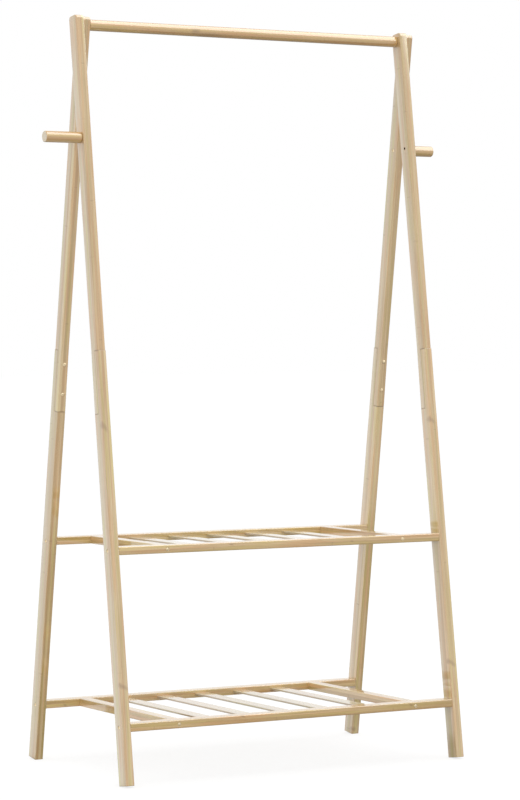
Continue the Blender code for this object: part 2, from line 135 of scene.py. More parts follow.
# Bamboo joints that show in the photograph, for each node: the reach of a joint across its line, in metres, and the
# pixels where each line begins and ends
LEG_REACH, RAIL_REACH, ROD_REACH = 0.007, 0.003, 0.0075
MARKS = {
    "left_front_leg_lower": (LEG_REACH, ((99.0, 419.0), (108.5, 432.5)), ((118.0, 684.0), (129.0, 690.0))),
    "right_front_leg_lower": (LEG_REACH, ((425.0, 414.5), (436.0, 423.5)), ((445.0, 658.0), (456.0, 666.0))),
    "right_rear_leg_lower": (LEG_REACH, ((351.0, 728.0), (356.0, 730.0))),
    "upper_shelf_front_rail": (RAIL_REACH, ((229.0, 543.5), (233.5, 545.0)), ((350.0, 540.5), (354.0, 541.5))),
    "lower_shelf_front_rail": (RAIL_REACH, ((240.5, 715.5), (245.5, 717.0)), ((409.0, 704.5), (413.0, 705.5))),
    "lower_shelf_rear_rail": (RAIL_REACH, ((63.0, 704.5), (67.0, 705.5))),
    "hanging_rod": (ROD_REACH, ((190.5, 30.6), (201.0, 31.4)), ((190.0, 34.4), (230.0, 36.6))),
}


class RackSizes(bpy.types.PropertyGroup):
    """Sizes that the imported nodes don't give by themselves."""

    leg_lean: FloatProperty(
        name="Leg Lean", description="Angle of a leg from upright", default=math.radians(8.11), subtype="ANGLE")
    apex_height: FloatProperty(
        name="Apex Height", description="Height where the centre lines of a pair of legs meet",
        default=1.6165, unit="LENGTH", precision=4)
    leg_edge: FloatProperty(
        name="Leg Edge", description="Radius of the legs' long edges", default=0.0022, unit="LENGTH", precision=4)
    rail_edge: FloatProperty(
        name="Rail Edge", description="Radius of the rails' long edges", default=0.002, unit="LENGTH", precision=4)
    crossbar_edge: FloatProperty(
        name="Crossbar Edge", description="Radius of the crossbars' long edges", default=0.0015, unit="LENGTH",
        precision=4)
    slat_edge: FloatProperty(
        name="Slat Edge", description="Radius of the slats' long edges", default=0.001, unit="LENGTH", precision=4)
    bar_end: FloatProperty(
        name="Bar End", description="Radius at the hidden ends of rails, crossbars and slats", default=0.0002,
        unit="LENGTH", precision=4)
    end_round: FloatProperty(
        name="End Round", description="Radius at the cut ends of the legs", default=0.0010, unit="LENGTH",
        precision=4)
    top_corner: FloatProperty(
        name="Top Corner", description="Radius of the corners at a leg's top", default=0.008, unit="LENGTH",
        precision=4)
    seam_ease: FloatProperty(
        name="Seam Ease", description="Radius at the edges of the half laps", default=0.0009, unit="LENGTH",
        precision=4)
    peg_round: FloatProperty(
        name="Peg Round", description="Radius at the ends of the rod and pegs", default=0.0016, unit="LENGTH",
        precision=4)
    fit_gap: FloatProperty(
        name="Fit Gap", description="Clearance between touching pieces", default=0.0003, unit="LENGTH", precision=4)
    hole: FloatProperty(
        name="Peg Hole", description="Diameter of the open peg holes", default=0.0052, unit="LENGTH", precision=4)
    recess_flare: FloatProperty(
        name="Recess Flare", description="Chamfer round a hole or a sunk head", default=0.0003, unit="LENGTH",
        precision=4)
    over_cut: FloatProperty(
        name="Over Cut", description="How far a cutter stands past the face", default=0.002, unit="LENGTH",
        precision=4)
    head: FloatProperty(
        name="Bolt Head", description="Diameter of a bolt's head", default=0.0070, unit="LENGTH", precision=4)
    head_height: FloatProperty(
        name="Head Height", description="Height of a bolt's head", default=0.0020, unit="LENGTH", precision=4)
    shank: FloatProperty(
        name="Bolt Shank", description="Diameter of a bolt's shank", default=0.0040, unit="LENGTH", precision=4)
    socket: FloatProperty(
        name="Socket", description="Width of a bolt's hexagon socket", default=0.0030, unit="LENGTH", precision=4)
    corner_steps: IntProperty(name="Corner Steps", description="Facets in a rounded corner", default=6, min=2)
    round_steps: IntProperty(name="Round Steps", description="Facets round the rod and pegs", default=72, min=12)
    hole_steps: IntProperty(name="Hole Steps", description="Facets round a hole", default=48, min=12)


class RackColours(bpy.types.PropertyGroup):
    """Colours of the finishes, in linear values."""

    leg_light: FloatVectorProperty(
        name="Leg Light", description="Light strips of the legs", default=(0.74, 0.56, 0.295), subtype="COLOR")
    leg_dark: FloatVectorProperty(
        name="Leg Dark", description="Dark strips of the legs", default=(0.50, 0.33, 0.135), subtype="COLOR")
    # Pale ground of the cut ends, also laid on one side of the legs' broad faces as a painted sheen of reflected light
    pale_end_and_leg_sheen: FloatVectorProperty(
        name="Leg Pale", description="Pale sapwood side of the legs", default=(0.79, 0.72, 0.59), subtype="COLOR")
    rail_light: FloatVectorProperty(
        name="Rail Light", description="Palest strips of the rails", default=(0.80, 0.57, 0.285), subtype="COLOR")
    rail_dark: FloatVectorProperty(
        name="Rail Dark", description="Darkest strips of the rails", default=(0.52, 0.335, 0.125), subtype="COLOR")
    slat_light: FloatVectorProperty(
        name="Slat Light", description="Palest strips of the slats", default=(0.73, 0.60, 0.43), subtype="COLOR")
    slat_dark: FloatVectorProperty(
        name="Slat Dark", description="Darkest strips of the slats", default=(0.57, 0.46, 0.30), subtype="COLOR")
    rod_light: FloatVectorProperty(
        name="Rod Light", description="Palest fibres of the rod", default=(0.67, 0.44, 0.18), subtype="COLOR")
    rod_dark: FloatVectorProperty(
        name="Rod Dark", description="Darkest fibres of the rod", default=(0.51, 0.295, 0.10), subtype="COLOR")
    warm_tint: FloatVectorProperty(
        name="Warm Tint", description="Tint of the redder strips", default=(1.0, 0.86, 0.76), subtype="COLOR")
    olive_tint: FloatVectorProperty(
        name="Olive Tint", description="Tint of the greener strips", default=(0.96, 1.0, 0.76), subtype="COLOR")
    # Painted shade on the slats' narrow sides
    side_shade: FloatVectorProperty(
        name="Sawn Tint", description="Tint of the slats' sawn sides", default=(0.78, 0.75, 0.7), subtype="COLOR")
    # Dark colour of the bamboo joints and the cut ends' vessels, also the painted shade along the legs' lap seams
    joint_mark_and_seam_shade: FloatVectorProperty(
        name="Joint Mark", description="Bamboo joints", default=(0.27, 0.14, 0.05), subtype="COLOR")
    # Painted shade on the walls of the drilled holes
    drilled_wall: FloatVectorProperty(
        name="Drilled Wall", description="Walls of the drilled holes", default=(0.12, 0.065, 0.03), subtype="COLOR")
    steel: FloatVectorProperty(
        name="Steel", description="Plated bolt heads", default=(1.0, 0.87, 0.62), subtype="COLOR")
    floor: FloatVectorProperty(
        name="Floor", description="Floor as it throws light back", default=(0.3, 0.3, 0.3), subtype="COLOR")
    floor_seen: FloatVectorProperty(
        name="Floor Seen", description="Floor as the camera sees it", default=(0.25, 0.25, 0.25), subtype="COLOR")


class RackView(bpy.types.PropertyGroup):
    """The photograph's camera."""

    position: FloatVectorProperty(
        name="Position", description="Where the camera stands", default=(-3.3549, -5.7478, 0.9606), unit="LENGTH")
    yaw: FloatProperty(
        name="Yaw", description="Turn from looking along +Y", default=math.radians(30.534), subtype="ANGLE")
    focal: FloatProperty(
        name="Focal Length", description="Focal length in pixels of the photograph", default=3040.6)
    horizon: FloatProperty(
        name="Horizon", description="Row of the photograph that lies at the camera's height", default=319.35)


class RackStudio(bpy.types.PropertyGroup):
    """Light and floor of the studio."""

    even_light: FloatProperty(name="Even Light", description="Strength of the light from all round", default=0.98)
    top_power: FloatProperty(name="Top Power", description="Power of the lamp overhead", default=80, unit="POWER")
    key_power: FloatProperty(name="Key Power", description="Power of the front left lamp", default=135, unit="POWER")
    card_power: FloatProperty(
        name="Card Power", description="Power of the overhead card that only reflections see", default=280,
        unit="POWER")
    floor_glow: FloatProperty(
        name="Floor Glow", description="White that the eye sees besides the floor's own light", default=0.77)
    floor_mirrored: FloatProperty(
        name="Floor Mirrored", description="White that reflections see in the floor behind the rack", default=0.85)
    floor_mirrored_front: FloatProperty(
        name="Floor Mirrored Front", description="White that reflections see in the floor before the rack",
        default=0.45)
    floor_reach: FloatProperty(name="Floor Reach", description="Half width of the floor", default=40, unit="LENGTH")
    floor_drop: FloatProperty(
        name="Floor Drop", description="How far the floor lies under the feet", default=0.0004, unit="LENGTH",
        precision=4)


def sizes():
    """The sizes that the scene holds."""
    return bpy.context.scene.rack_sizes


def colours():
    """The colours that the scene holds."""
    return bpy.context.scene.rack_colours


def new_object(name, data):
    """An object in the scene that holds a mesh, a lamp or a camera."""
    made = bpy.data.objects.new(name, data)
    bpy.context.scene.collection.objects.link(made)
    return made


# Own frames of the pieces


def leg_place(place):
    """Matrix of a leg's own frame: leaned about the apex, and turned half round for a rear leg."""
    turn = 0 if place == "front" else HALF_TURN
    apex = Matrix.Translation((0, 0, sizes().apex_height))
    return apex @ Matrix.Rotation(turn, 4, "Z") @ Matrix.Rotation(-sizes().leg_lean, 4, "X")


def facing(direction):
    """Matrix that turns Z to a direction."""
    return Vector(direction).to_track_quat("Z", "Y").to_matrix().to_4x4()


def to_frame(points, matrix):
    """Points under a matrix: each is R p + t."""
    values = np.array(matrix, float)
    return points @ values[:3, :3].T + values[:3, 3]


def mesh_points(mesh):
    """All of a mesh's points as one array."""
    points = np.empty(len(mesh.vertices) * 3)
    mesh.vertices.foreach_get("co", points)
    return points.reshape(-1, 3)


def own_box(node, place):
    """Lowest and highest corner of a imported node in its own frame."""
    points = to_frame(mesh_points(NODES[node].data), place.inverted())
    return points.min(0), points.max(0)


# Surfaces


def end_profile(radius, steps):
    """Quarter round at a bar's end: for t from 0 to 90 degrees, inset r (1 - sin t) and level r (1 - cos t)."""
    turn = np.linspace(0, QUARTER_TURN, steps + 1)
    return radius * (1 - np.sin(turn)), radius * (1 - np.cos(turn))


def inset_at(level, end, radius):
    """Inset of a quarter round of one radius that ends at a level: r - sqrt(r^2 - d^2), d being the way into it."""
    into = np.clip(level - (end - radius), 0, radius)
    return radius - np.sqrt(radius ** 2 - into ** 2)


def around_axis(reach, level, steps):
    """Rings about Z: a point at angle a is (reach cos a, reach sin a, level), reach and level being columns."""
    angle = np.arange(steps) * FULL_TURN / steps
    return np.stack([reach * np.cos(angle), reach * np.sin(angle), level * np.ones_like(angle)], axis=2)


def bar_surface(box, edge, end_low, end_high, corner=0.0):
    """Rings of a straight bar between two corners of its own frame, with rounded edges and ends.

    Ring k has level z_k and inset d_k. Its point at angle a of corner q is the corner's centre plus
    (edge - d_k) (cos a, sin a), so the corner centres stay and only the radius shrinks towards an end.
    A corner radius above nought also draws the two sides of the high end together in Y by a quarter round.
    """
    low, high = box
    steps = sizes().corner_steps
    inset_low, rise_low = end_profile(end_low, steps)
    rise_high = np.concatenate([end_profile(end_high, steps)[1], end_profile(corner, 2 * steps)[1]])
    rise_high = np.unique(np.round(rise_high, LEVEL_DIGITS))
    levels = np.concatenate([low[2] + rise_low, high[2] - rise_high[::-1]])
    insets = np.concatenate([inset_low, inset_at(high[2] - rise_high[::-1], high[2], end_high)])
    drawn = inset_at(levels, high[2], corner)[:, None]
    quarter = np.linspace(0, QUARTER_TURN, steps + 1)
    angle = (quarter[None, :] + np.arange(4)[:, None] * QUARTER_TURN).ravel()
    side_x = np.repeat([1, -1, -1, 1], steps + 1)
    side_y = np.repeat([1, 1, -1, -1], steps + 1)
    middle = (low + high) / 2
    half = (high - low) / 2
    radius = edge - insets[:, None]
    x = middle[0] + side_x * (half[0] - edge) + radius * np.cos(angle)
    y = middle[1] + side_y * (half[1] - edge - drawn) + radius * np.sin(angle)
    z = np.repeat(levels[:, None], len(angle), axis=1)
    return np.stack([x, y, z], axis=2)


def recess_surface(radius, depth):
    """Rings of a cutter along Z, with zero at the face that it opens: a straight wall that flares out at the face."""
    size = sizes()
    flare = size.recess_flare
    profile = np.array([(radius, -depth), (radius, -flare), (radius + flare, 0), (radius + flare, size.over_cut)])
    return around_axis(profile[:, :1], profile[:, 1:], size.hole_steps)


def round_surface(box, end, end_steps, steps):
    """Rings of a round bar: radius R less the end profile's inset, at (R cos a, R sin a) about its axis."""
    low, high = box
    inset, rise = end_profile(end, end_steps)
    levels = np.concatenate([low[2] + rise, high[2] - rise[::-1]])
    insets = np.concatenate([inset, inset[::-1]])
    radius = (high[0] - low[0]) / 2 - insets
    middle = (low + high) / 2 * (1, 1, 0)
    return middle + around_axis(radius[:, None], levels[:, None], steps)


def lapped(rings, shoulder, lap_plane, lower, edge, ease):
    """A bar with a half lap: past the shoulder, the far side's corners move to the lap plane and shrink.

    With e into the bar from the far side, y becomes lap_plane -/+ e s and the distance from the flank is
    multiplied by s too, where s is the share of the eased edge's radius in the bar's own. A ring is added at
    the shoulder, once whole and once held, so the shoulder is a flat step. A lower half has its tongue up.
    """
    whole = rings[0 if lower else -1].copy()
    straight = rings[len(rings) // 2].copy()
    whole[:, :2] = straight[:, :2]
    whole[:, 2] = shoulder
    below = rings[rings[:, 0, 2] < shoulder]
    above = rings[rings[:, 0, 2] >= shoulder]
    toward = 1 if lower else -1
    middle_x = (straight[:, 0].min() + straight[:, 0].max()) / 2

    def hold(part):
        aside = part[..., 0] - middle_x
        half = np.abs(aside).max(1, keepdims=True)
        into = (toward * part[..., 1]).max(1, keepdims=True) - toward * part[..., 1]
        corner = into < edge + SAME_POINT
        share = ease / edge
        flank = np.sign(aside) * (half - (half - np.abs(aside)) * share)
        x = np.where(corner, middle_x + flank, part[..., 0])
        y = np.where(corner, lap_plane - toward * into * share, part[..., 1])
        return np.stack([x, y, part[..., 2]], axis=2)

    if lower:
        return np.concatenate([below, whole[None], hold(whole[None]), hold(above)])
    return np.concatenate([hold(below), hold(whole[None]), whole[None], above])


def capped(rings):
    """Rings with smaller copies of the first and last ring inside its cap, so the cap has faces of its own."""
    def inner(ring):
        centre = ring.mean(0)
        return np.stack([centre + (ring - centre) * share for share in CAP_RINGS])

    return np.concatenate([inner(rings[0])[::-1], rings, inner(rings[-1])])


def level_foot(rings, place):
    """Hold the rings of a foot at the floor: z in the rack is never under zero."""
    world = to_frame(rings.reshape(-1, 3), place)
    world[:, 2] = np.maximum(world[:, 2], 0)
    return to_frame(world, place.inverted()).reshape(rings.shape)


def bolt_surface(length):
    """Rings of a bolt along Z with zero under its head: a shank, a domed head and a hexagon socket.

    The dome is part of an ellipse. A hexagon of width w lies at w / 2 / cos(b) from the middle,
    where b is the angle from the nearest flat's normal.
    """
    size = sizes()
    dome = np.linspace(0, 1, DOME_STEPS)[:, None] * DOME_ANGLE
    steps = DOME_STEPS * 6
    angle = np.arange(steps) * FULL_TURN / steps
    shank = size.shank / 2
    rim = size.head / 2
    wall = size.head_height * RIM_SHARE
    radii = [shank * TIP_SHARE, shank, shank, rim, rim]
    levels = [-length, -length + shank * TIP_RISE, 0, 0, wall]
    flank = np.array(radii)[:, None] * np.ones_like(angle)
    crown = rim * np.cos(dome) * np.ones_like(angle)
    crown_level = wall + (size.head_height - wall) * np.sin(dome[:, 0]) / math.sin(DOME_ANGLE)
    hexagon = size.socket / 2 / np.cos(angle % (math.pi / 3) - math.pi / 6)
    socket = np.stack([hexagon, hexagon, hexagon * SOCKET_TIP_SHARE])
    floor = size.head_height * SOCKET_FLOOR_SHARE
    socket_level = [size.head_height, floor, floor - size.socket * SOCKET_TIP_DROP]
    level = np.concatenate([levels, crown_level, socket_level])
    return around_axis(np.concatenate([flank, crown, socket]), level[:, None], steps)


# Meshes


def make_mesh(name, rings):
    """Mesh from a grid of rings: each cell is a face, and the first and last ring are capped."""
    rows, columns = rings.shape[:2]
    index = np.arange(rows * columns).reshape(rows, columns)
    after = np.roll(index, -1, axis=1)
    cells = np.stack([index[:-1], after[:-1], after[1:], index[1:]], axis=2).reshape(-1, 4)
    faces = cells.tolist() + [index[0, ::-1].tolist(), index[-1].tolist()]
    mesh = bpy.data.meshes.new(name)
    mesh.from_pydata(rings.reshape(-1, 3), [], faces)
    body = bmesh.new()
    body.from_mesh(mesh)
    bmesh.ops.remove_doubles(body, verts=body.verts, dist=SAME_POINT)
    bmesh.ops.dissolve_degenerate(body, edges=body.edges, dist=NO_EDGE)
    bmesh.ops.recalc_face_normals(body, faces=body.faces)
    body.to_mesh(mesh)
    body.free()
    return mesh


def cut(mesh, cutters):
    """Cut closed meshes out of a mesh, one Boolean for each. All get a bamboo piece's slots, still empty."""
    for thing in (mesh, *cutters):
        for _ in BAMBOO_SLOTS:
            thing.materials.append(None)
    piece = new_object("work", mesh)
    tools = [new_object("tool", cutter) for cutter in cutters]
    for tool in tools:
        modifier = piece.modifiers.new("cut", "BOOLEAN")
        modifier.operation = "DIFFERENCE"
        modifier.solver = "EXACT"
        modifier.object = tool
    shaped = piece.evaluated_get(bpy.context.evaluated_depsgraph_get())
    result = bpy.data.meshes.new_from_object(shaped)
    for thing in (piece, *tools):
        bpy.data.objects.remove(thing, do_unlink=True)
    return result


def store(mesh, name, kind, values):
    """Write one attribute on the points of a mesh."""
    attribute = mesh.attributes.new(name, kind, "POINT")
    field = "vector" if kind == "FLOAT_VECTOR" else "value"
    attribute.data.foreach_set(field, np.ascontiguousarray(values, dtype=np.float32).ravel())


def write_grain(mesh, box, strips, seed, marks):
    """Store what the bamboo materials read, worked out from each point's place in the piece's own frame.

    grain holds x and y in strips, from a little above zero to a little under their number, and z in metres.
    mark_1 and mark_2 hold the offset from a bamboo joint's middle along the joint, across it and into the piece,
    each divided by the joint's reach that way.
    """
    low, high = box
    points = mesh_points(mesh)
    share = (points[:, :2] - low[:2]) / (high[:2] - low[:2])
    grain = np.column_stack([STRIP_MARGIN + share * (np.array(strips) - 2 * STRIP_MARGIN), points[:, 2]])
    store(mesh, "grain", "FLOAT_VECTOR", grain)
    store(mesh, "seed", "FLOAT", np.full(len(points), seed))
    for number in MARK_NUMBERS:
        offset = np.full_like(points, NO_MARK)
        if number <= len(marks):
            centre, turn, reach = marks[number - 1]
            offset = (points - centre) @ turn.T / reach
        store(mesh, f"mark_{number}", "FLOAT_VECTOR", offset)


def write_lap(mesh, shoulder, lap_plane, end, lower, sheen_up):
    """Store how each point of a leg half lies to its half lap, and how much painted sheen its side gets.

    lap holds the distance past the lap plane to the cut side, past the shoulder, and short of the tongue's end.
    The share of painted sheen rises evenly in y from nought to one across the leg, or falls so.
    """
    points = mesh_points(mesh)
    toward = 1 if lower else -1
    beyond = toward * (points[:, 1] - lap_plane)
    past = toward * (points[:, 2] - shoulder)
    short = toward * (end - points[:, 2])
    store(mesh, "lap", "FLOAT_VECTOR", np.column_stack([beyond, past, short]))
    across = (points[:, 1] - points[:, 1].min()) / np.ptp(points[:, 1])
    store(mesh, "painted_sheen", "FLOAT", across if sheen_up else 1 - across)


def end_faces(mesh):
    """Give faces that look along the piece's own Z the cut end's material, and leave recesses as they are."""
    normals = np.empty(len(mesh.polygons) * 3)
    mesh.polygons.foreach_get("normal", normals)
    slots = np.empty(len(mesh.polygons), np.int32)
    mesh.polygons.foreach_get("material_index", slots)
    ends = (slots == FLANK) & (np.abs(normals.reshape(-1, 3)[:, 2]) > END_FACING)
    mesh.polygons.foreach_set("material_index", np.where(ends, CUT_END, slots))


def add_piece(name, mesh, place, materials, node):
    """Put a finished mesh at its place in the rack, shade it smooth and let it stand for its node."""
    mesh.transform(place)
    for number, material in enumerate(materials):
        if number < len(mesh.materials):
            mesh.materials[number] = material
        else:
            mesh.materials.append(material)
    mesh.shade_smooth()
    mesh.set_sharp_from_angle(angle=SHARP_ANGLE)
    piece = new_object(name, mesh)
    even = piece.modifiers.new("even_shading", "WEIGHTED_NORMAL")
    even.keep_sharp = True
    even.weight = 100
    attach(piece, "root")
    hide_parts(node)


# Materials


class Noise(NamedTuple):
    """Noise drawn out along the bamboo: its cells in a strip, both ways across, and in a metre, detail and strength."""

    cells: tuple
    detail: float
    strength: float = 0.0


FIBRE = Noise((9.0, 9.0, 16.0), 3.0, 0.7)
STREAK = Noise((2.2, 2.2, 3.0), 2.0, 0.8)
DRIFT = Noise((0.3, 0.3, 4.0), 1.0, 0.6)
HUE = Noise((0.9, 0.9, 5.0), 1.0)
END_GROUND = Noise((1.5, 1.5, 1.0), 2.0)
NOISE_ROUGHNESS = 0.6

# How a strip's lot, a random number of its own, spreads its seeds, its tone and its rings
STRIP_SEEDS, HUE_SEEDS, FIRST_HUE_SEED = 31.0, 13.0, 4.0
LOT_TONE, LEAST_TONE = 0.7, 0.15
RING_SHIFT, RINGS_IN_METRE, RING_STRENGTH = 3.7, 3.4, 0.3
SHEEN_CURVE, SHEEN_STRENGTH = 1.4, 0.8
MARK_RAGGEDNESS, MARK_STRENGTH = 1.6, 0.5
LAP_SHADE_STRENGTH, LAP_FLANK_SHADE_STRENGTH = 0.42, 0.6
FIBRE_POLISH, FIBRE_TOOTH = 0.06, 0.08
BUMP_STRENGTH, BUMP_HEIGHT = 0.25, 0.0004
END_CELLS, END_DOTS = 9.0, 0.55
DRILL_PATCHES, DRILL_SHADE = 700.0, 0.5
STEEL_MARKS, STEEL_SHADE = 900.0, 0.86

# Where each smooth step begins and ends
WHOLE_STEP = (0.0, 1.0)
NOISE_STEP = (0.2, 0.8)
BROAD_FACE_STEP = (0.5, 0.9)
WARM_STEP, OLIVE_STEP = (0.5, 0.62), (0.5, 0.38)
GLUE_STEP, RING_STEP, RINGED_LOTS_STEP = (0.47, 0.495), (0.007, 0.002), (0.5, 0.8)
MARK_STEP = (1.1, 0.1)
LAP_STEP, LAP_FLANK_STEP, LAP_SIDE_STEP = (0.0020, 0.0005), (0.0017, 0.0004), (-0.001, 0.0)
VESSEL_STEP = (0.28, 0.12)


class Wiring:
    """Adds shader nodes to one material or world and links them."""

    def __init__(self, owner):
        owner.use_nodes = True
        self.owner = owner
        self.nodes = owner.node_tree.nodes
        self.links = owner.node_tree.links

    def node(self, kind, inputs=None, **settings):
        """Add one node, set it up and feed its inputs."""
        made = self.nodes.new(kind)
        for setting, value in settings.items():
            setattr(made, setting, value)
        for key, value in (inputs or {}).items():
            self.feed(made.inputs[key], value)
        return made

    def feed(self, socket, value):
        """Give a socket a link, a colour in three parts or a number."""
        if isinstance(value, bpy.types.NodeSocket):
            self.links.new(value, socket)
        elif socket.type == "RGBA":
            socket.default_value = (*value, 1.0)
        else:
            socket.default_value = value

    def finish(self, values):
        """Feed the shader's own sockets and give the material back."""
        for name, value in values.items():
            self.feed(self.nodes["Principled BSDF"].inputs[name], value)
        return self.owner

    def math(self, operation, first, second=0.0, third=0.0):
        """One Math node's result."""
        return self.node("ShaderNodeMath", {0: first, 1: second, 2: third}, operation=operation).outputs[0]

    def times(self, first, second):
        """Product of two values."""
        return self.math("MULTIPLY", first, second)

    def swayed(self, value, noise, strength):
        """A value plus a noise about its middle, times a strength."""
        return self.math("MULTIPLY_ADD", self.math("SUBTRACT", noise, 0.5), strength, value)

    def off_middle(self, value):
        """How far a value lies from the middle between two whole numbers."""
        return self.math("ABSOLUTE", self.math("SUBTRACT", self.math("FRACT", value), 0.5))

    def fade(self, value, step, low=0.0, high=1.0):
        """Smooth step of a value from one range to another."""
        inputs = {"Value": value, "From Min": step[0], "From Max": step[1], "To Min": low, "To Max": high}
        return self.node("ShaderNodeMapRange", inputs, interpolation_type="SMOOTHSTEP").outputs["Result"]

    def mix(self, factor, first, second, blend="MIX"):
        """Mix of two colours."""
        made = self.node("ShaderNodeMix", data_type="RGBA", blend_type=blend)
        for name, value in (("Factor", factor), ("A", first), ("B", second)):
            self.feed(next(socket for socket in made.inputs if socket.name == name and socket.enabled), value)
        return next(socket for socket in made.outputs if socket.enabled)

    def attribute(self, name, output="Vector"):
        """An attribute of the piece."""
        return self.node("ShaderNodeAttribute", attribute_name=name).outputs[output]

    def coordinates(self, kind="Object"):
        """Coordinates of the piece, or its normal, in its own frame."""
        return self.node("ShaderNodeTexCoord").outputs[kind]

    def parts(self, vector):
        """X, Y and Z of a vector."""
        return self.node("ShaderNodeSeparateXYZ", {0: vector}).outputs

    def joined(self, x, y, z):
        """Vector of three values."""
        return self.node("ShaderNodeCombineXYZ", {0: x, 1: y, 2: z}).outputs[0]

    def stretched(self, x, y, z, noise, seed=0.0):
        """Noise whose cells are drawn out along the bamboo."""
        across_x, across_y, along = noise.cells
        vector = self.joined(self.times(x, across_x), self.times(y, across_y), self.times(z, along))
        inputs = {"Vector": vector, "W": seed, "Scale": 1.0, "Detail": noise.detail, "Roughness": NOISE_ROUGHNESS}
        return self.node("ShaderNodeTexNoise", inputs, noise_dimensions="4D").outputs[0]

    def clouded(self, cells, detail, colour, shade):
        """Fine noise in the piece's own frame, and a colour that it darkens down to a share of itself."""
        cloud = self.node("ShaderNodeTexNoise", {"Vector": self.coordinates(), "Scale": cells, "Detail": detail})
        return cloud.outputs[0], self.mix(cloud.outputs[0], colour, [part * shade for part in colour])


def bamboo(name, light, dark, contrast, seams, roughness, pale=None, shaded=False):
    """Laminated bamboo: strips of unlike tone, fibres along them, thin glue lines and darker joints.

    With a pale colour, it is a leg's: its broad faces get a painted sheen towards one side, and painted shade where
    the halves of its lap meet. Where asked, a strip's narrow sides get painted shade.
    """
    wiring = Wiring(bpy.data.materials.new(name))
    tints = colours()
    x, y, z = wiring.parts(wiring.attribute("grain"))
    seed = wiring.attribute("seed", "Fac")
    strip = wiring.joined(wiring.math("FLOOR", x), wiring.math("FLOOR", y), seed)
    lot = wiring.node("ShaderNodeTexWhiteNoise", {"Vector": strip}, noise_dimensions="3D").outputs["Value"]
    strip_seed = wiring.math("MULTIPLY_ADD", lot, STRIP_SEEDS, seed)
    fibre, streak, drift = (wiring.stretched(x, y, z, noise, strip_seed) for noise in (FIBRE, STREAK, DRIFT))

    tone = wiring.math("MULTIPLY_ADD", lot, LOT_TONE, LEAST_TONE)
    for value, noise in ((streak, STREAK), (fibre, FIBRE), (drift, DRIFT)):
        tone = wiring.swayed(tone, value, noise.strength * contrast)
    colour = wiring.mix(wiring.fade(tone, WHOLE_STEP), light, dark)
    normal = wiring.parts(wiring.coordinates("Normal"))
    broad = wiring.fade(wiring.math("ABSOLUTE", normal["X"]), BROAD_FACE_STEP)
    # Painted sheen: the broad faces of a leg turn towards the pale colour on one side
    if pale is not None:
        painted_sheen = wiring.math("POWER", wiring.attribute("painted_sheen", "Fac"), SHEEN_CURVE)
        colour = wiring.mix(wiring.times(wiring.times(painted_sheen, broad), SHEEN_STRENGTH), colour, pale)
    hue = wiring.stretched(x, y, z, HUE, wiring.math("MULTIPLY_ADD", lot, HUE_SEEDS, FIRST_HUE_SEED))
    colour = wiring.mix(wiring.fade(hue, WARM_STEP), colour, tints.warm_tint, "MULTIPLY")
    colour = wiring.mix(wiring.fade(hue, OLIVE_STEP), colour, tints.olive_tint, "MULTIPLY")
    # Painted shade: the narrow sides are darkened by a tint
    if shaded:
        colour = wiring.mix(broad, colour, tints.side_shade, "MULTIPLY")
    for part in (x, y):
        colour = wiring.mix(wiring.fade(wiring.off_middle(part), GLUE_STEP, 0.0, seams), colour, dark, "MULTIPLY")

    from_ring = wiring.off_middle(wiring.math("MULTIPLY_ADD", lot, RING_SHIFT, wiring.times(z, RINGS_IN_METRE)))
    ring = wiring.fade(from_ring, RING_STEP, 0.0, RING_STRENGTH)
    colour = wiring.mix(wiring.times(ring, wiring.fade(lot, RINGED_LOTS_STEP)), colour, tints.joint_mark_and_seam_shade)
    for number in MARK_NUMBERS:
        offset = wiring.attribute(f"mark_{number}")
        reach = wiring.node("ShaderNodeVectorMath", {0: offset}, operation="LENGTH").outputs["Value"]
        ragged = wiring.swayed(reach, streak, MARK_RAGGEDNESS)
        colour = wiring.mix(wiring.fade(ragged, MARK_STEP, 0.0, MARK_STRENGTH), colour, tints.joint_mark_and_seam_shade)
    # Painted shade along the seams where the halves of a leg's lap meet
    if pale is not None:
        colour = wiring.mix(lap_seam_shade(wiring), colour, tints.joint_mark_and_seam_shade)

    bump = wiring.node("ShaderNodeBump", {"Strength": BUMP_STRENGTH, "Distance": BUMP_HEIGHT, "Height": fibre})
    return lacquered(
        wiring, colour, wiring.fade(fibre, NOISE_STEP, roughness - FIBRE_POLISH, roughness + FIBRE_TOOTH),
        bump.outputs["Normal"])


def lap_seam_shade(wiring):
    """Share of painted shade along the lines where the halves of a leg meet: shoulder, tongue's end and long edges."""
    beyond, past, short = wiring.parts(wiring.attribute("lap"))
    shoulder = wiring.times(
        wiring.fade(wiring.math("ABSOLUTE", past), LAP_STEP), wiring.fade(beyond, LAP_SIDE_STEP))
    flank = wiring.times(
        wiring.fade(wiring.math("ABSOLUTE", beyond), LAP_FLANK_STEP),
        wiring.fade(past, LAP_SIDE_STEP, 0.0, LAP_FLANK_SHADE_STRENGTH))
    most = wiring.math("MAXIMUM", wiring.math("MAXIMUM", shoulder, flank), wiring.fade(short, LAP_STEP))
    return wiring.times(most, LAP_SHADE_STRENGTH)


def lacquered(wiring, colour, roughness, normal=None):
    """Bamboo of one colour and roughness under a clear glossy lacquer."""
    values = {
        "Base Color": colour, "Roughness": roughness, "Specular IOR Level": 0.4,
        "Coat Weight": 1.0, "Coat IOR": 2.0, "Coat Roughness": 0.06}
    if normal is not None:
        values["Normal"] = normal
    return wiring.finish(values)


